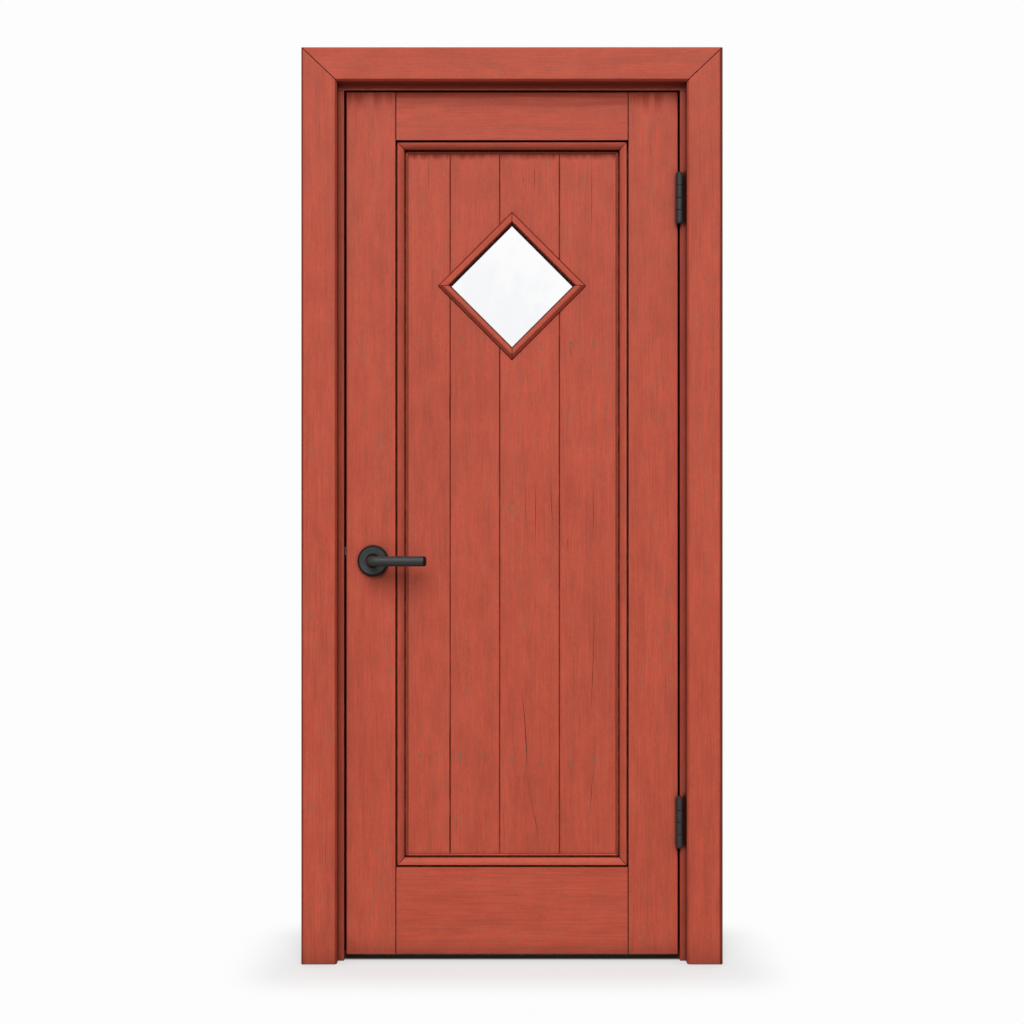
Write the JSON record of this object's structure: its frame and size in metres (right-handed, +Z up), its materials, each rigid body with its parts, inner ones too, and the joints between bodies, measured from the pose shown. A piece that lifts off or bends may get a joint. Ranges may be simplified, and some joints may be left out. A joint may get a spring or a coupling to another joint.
{
  "type": "wooden door with frame",
  "caption": "Painted timber door leaf with a boarded panel, diamond window and lever handle, hung on butt hinges in a lining with mitred casings.",
  "frame": {"origin": "on the floor, midway across the width and the overall depth of the set", "axes": "+X along the wall towards the hinges, +Y from the front face to the back, +Z up"},
  "size_m": [0.961, 0.202, 2.0915],
  "materials": {
    "painted_timber": "weathered brick-red paint over timber, matt to satin, with grain showing",
    "black_iron": "blackened, satin",
    "latch_steel": "plain steel",
    "nail_iron": "dull, dark",
    "window_glass": "clear, smooth"
  },
  "bodies": {
    "frame": {"lock_jamb": "painted_timber", "hinge_jamb": "painted_timber", "head_jamb": "painted_timber", "lock_stop": "painted_timber", "hinge_stop": "painted_timber", "head_stop": "painted_timber", "front_casing_lock_side": "painted_timber", "front_casing_hinge_side": "painted_timber", "front_casing_head": "painted_timber", "rear_casing_lock_side": "painted_timber", "rear_casing_hinge_side": "painted_timber", "rear_casing_head": "painted_timber", "strike_plate": "black_iron", "strike_screws": "black_iron", "upper_hinge_frame_leaf": "black_iron", "lower_hinge_frame_leaf": "black_iron", "upper_hinge_pin": "black_iron", "lower_hinge_pin": "black_iron", "frame_hinge_screws": "black_iron"},
    "door": {"lock_stile": "painted_timber", "hinge_stile": "painted_timber", "top_rail": "painted_timber", "bottom_rail": "painted_timber", "upper_ledge": "painted_timber", "lower_ledge": "painted_timber", "board_1": "painted_timber", "board_2": "painted_timber", "board_3": "painted_timber", "board_4": "painted_timber", "board_nails": "nail_iron", "panel_moulding_bottom": "painted_timber", "panel_moulding_lock_side": "painted_timber", "panel_moulding_top": "painted_timber", "panel_moulding_hinge_side": "painted_timber", "front_bead_lower_hinge_side": "painted_timber", "front_bead_lower_lock_side": "painted_timber", "front_bead_upper_lock_side": "painted_timber", "front_bead_upper_hinge_side": "painted_timber", "rear_bead_lower_hinge_side": "painted_timber", "rear_bead_lower_lock_side": "painted_timber", "rear_bead_upper_lock_side": "painted_timber", "rear_bead_upper_hinge_side": "painted_timber", "window_glass": "window_glass", "upper_hinge_door_leaf": "black_iron", "lower_hinge_door_leaf": "black_iron", "door_hinge_screws": "black_iron", "front_rose": "black_iron", "rear_rose": "black_iron", "rose_bolts": "black_iron", "latch_case": "latch_steel", "latch_cover": "latch_steel", "latch_forend": "latch_steel", "latch_screws": "latch_steel"},
    "handle": {"front_lever": "black_iron", "rear_lever": "black_iron", "lever_grub_screws": "black_iron", "spindle": "latch_steel", "latch_follower": "latch_steel"},
    "latch": {"latch_bolt": "latch_steel", "latch_spring": "latch_steel"}
  },
  "joints": [
    {"name": "door_swing", "type": "hinge", "parent": "frame", "child": "door", "pos_m": [0.3835, -0.047, 0], "axis": [0, 0, 1], "range_deg": [0, 150]},
    {"name": "handle_turn", "type": "hinge", "parent": "door", "child": "handle", "pos_m": [-0.319, -0.017, 0.92], "axis": [0, 1, 0], "range_deg": [0, 45], "stiffness_Nm_per_rad": 1.2, "springref_deg": -51.57},
    {"name": "latch_slide", "type": "slide", "parent": "door", "child": "latch", "axis": [1, 0, 0], "range_m": [0, 0.0115], "deforming": ["latch_spring"]}
  ],
  "couplings": [
    {"joint": "latch_slide", "follows": "handle_turn", "m_per_rad": 0.01464}
  ]
}
